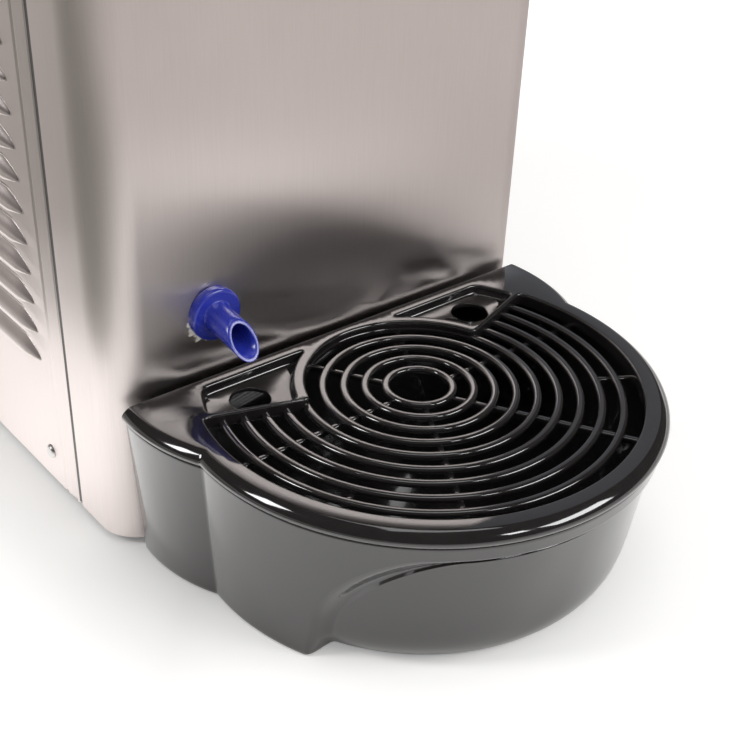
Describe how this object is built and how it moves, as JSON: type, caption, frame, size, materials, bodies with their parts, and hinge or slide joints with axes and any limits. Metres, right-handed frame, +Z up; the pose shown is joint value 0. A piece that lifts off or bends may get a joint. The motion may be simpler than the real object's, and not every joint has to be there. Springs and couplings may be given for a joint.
{
  "type": "slush machine",
  "caption": "Counter-top slush machine with a stainless cabinet, clear bowl with chilled drum and auger, lever tap, drain spout and a ring-grid drip tray.",
  "frame": {"origin": "on the table, under the middle of the whole machine's box", "axes": "+Z up, front with the tap and the drip tray towards -Y, +X to the right seen from behind the front"},
  "size_m": [0.264, 0.5606, 0.646],
  "materials": {
    "stainless": "vertical brushed grain",
    "side_steel": "fine brushed grain",
    "galvanised": "satin",
    "deck_plastic": "fine grain",
    "black_gloss": "moulded gloss",
    "black_plastic": "moulded",
    "rubber": "matt",
    "pale_rubber": "matt",
    "screw_steel": "plain",
    "drum_steel": "polished",
    "copper": "drawn tube",
    "bronze": "plain",
    "cast_alloy": "die cast",
    "motor_grey": "satin",
    "gear_nylon": "moulded",
    "gear_steel": "cut",
    "auger_plastic": "moulded",
    "blue_plastic": "moulded",
    "compressor_black": "semi gloss",
    "coil_fins": "plain",
    "fan_plastic": "moulded",
    "red_plastic": "moulded",
    "green_plastic": "moulded",
    "cream_plastic": "moulded",
    "hose_pvc": "soft vinyl",
    "clear_bowl": "clear polycarbonate",
    "clear_tap": "moulded",
    "white_plastic": "moulded",
    "spring_steel": "wire"
  },
  "bodies": {
    "cabinet": {"base_pan": "galvanised", "feet": "rubber", "front_panel": "stainless", "side_panel_left": "side_steel", "side_panel_right": "side_steel", "rear_panel": "galvanised", "panel_screws": "screw_steel", "top_deck": "deck_plastic", "bulkhead": "deck_plastic", "tower_cover": "stainless", "bowl_gasket": "pale_rubber", "evaporator_drum": "drum_steel", "evaporator_coil": "copper", "shaft_bushes": "bronze", "gearbox_case": "cast_alloy", "gearbox_cover": "cast_alloy", "drive_motor": "motor_grey", "compressor": "compressor_black", "compressor_grommets": "rubber", "condenser": "coil_fins", "fan_shroud": "galvanised", "fan_bracket": "galvanised", "fan_motor": "motor_grey", "filter_drier": "copper", "discharge_pipe": "copper", "liquid_pipe": "copper", "suction_pipe": "copper", "control_plate": "black_plastic", "switch_housings": "black_plastic", "thermostat": "cream_plastic", "power_inlet": "black_plastic", "drain_spout": "blue_plastic", "spout_nut": "blue_plastic", "drain_hose": "hose_pvc"},
    "auger": {"auger_shaft": "drum_steel", "auger_spiral": "auger_plastic", "auger_hub": "auger_plastic", "auger_nut": "blue_plastic", "drive_gear": "gear_nylon"},
    "pinion": {"motor_pinion": "gear_steel"},
    "fan": {"fan_blades": "fan_plastic"},
    "tray": {"drip_basin": "black_gloss"},
    "grid": {"drip_grid": "black_gloss"},
    "bowl": {"bowl": "clear_bowl", "tap_body": "clear_tap", "tap_cap": "blue_plastic", "tap_spring": "spring_steel", "lever_pin": "screw_steel"},
    "lid": {"bowl_lid": "black_plastic", "lid_knob": "black_plastic"},
    "piston": {"tap_piston": "white_plastic", "piston_seals": "rubber"},
    "lever": {"tap_lever": "black_plastic"},
    "mixer_rocker": {"mixer_switch": "red_plastic"},
    "cooling_rocker": {"cooling_switch": "green_plastic"},
    "knob": {"thermostat_knob": "black_plastic"}
  },
  "joints": [
    {"name": "auger_spin", "type": "hinge", "parent": "cabinet", "child": "auger", "pos_m": [0, -0.0013, 0.488], "axis": [0, 1, 0], "continuous": true},
    {"name": "pinion_spin", "type": "hinge", "parent": "cabinet", "child": "pinion", "pos_m": [0.05303, 0.1937, 0.54103], "axis": [0, 1, 0], "continuous": true},
    {"name": "fan_spin", "type": "hinge", "parent": "cabinet", "child": "fan", "pos_m": [0, 0.1987, 0.1185], "axis": [0, 1, 0], "continuous": true},
    {"name": "tray_slide", "type": "slide", "parent": "cabinet", "child": "tray", "axis": [0, -1, 0], "range_m": [0, 0.2]},
    {"name": "grid_lift", "type": "slide", "parent": "tray", "child": "grid", "axis": [0, 0, 1], "range_m": [0, 0.012]},
    {"name": "bowl_slide", "type": "slide", "parent": "cabinet", "child": "bowl", "axis": [0, -1, 0], "range_m": [0, 0.3]},
    {"name": "lid_lift", "type": "slide", "parent": "bowl", "child": "lid", "axis": [0, 0, 1], "range_m": [0, 0.06]},
    {"name": "lever_turn", "type": "hinge", "parent": "bowl", "child": "lever", "pos_m": [0, -0.1423, 0.472], "axis": [-1, 0, 0], "range_deg": [0, 45], "stiffness_Nm_per_rad": 0.36, "springref_deg": -17.19},
    {"name": "piston_lift", "type": "slide", "parent": "bowl", "child": "piston", "axis": [0, 0, 1], "range_m": [0, 0.0206], "deforming": ["tap_spring"]},
    {"name": "mixer_rock", "type": "hinge", "parent": "cabinet", "child": "mixer_rocker", "pos_m": [0.034, -0.0998, 0.32], "axis": [1, 0, 0], "range_deg": [0, 16]},
    {"name": "cooling_rock", "type": "hinge", "parent": "cabinet", "child": "cooling_rocker", "pos_m": [0.06, -0.0998, 0.32], "axis": [1, 0, 0], "range_deg": [0, 16]},
    {"name": "knob_turn", "type": "hinge", "parent": "cabinet", "child": "knob", "pos_m": [0.088, -0.1093, 0.32], "axis": [0, -1, 0], "range_deg": [0, 270]}
  ],
  "couplings": [
    {"joint": "pinion_spin", "follows": "auger_spin", "ratio": -4},
    {"joint": "piston_lift", "follows": "lever_turn", "m_per_rad": 0.026}
  ]
}
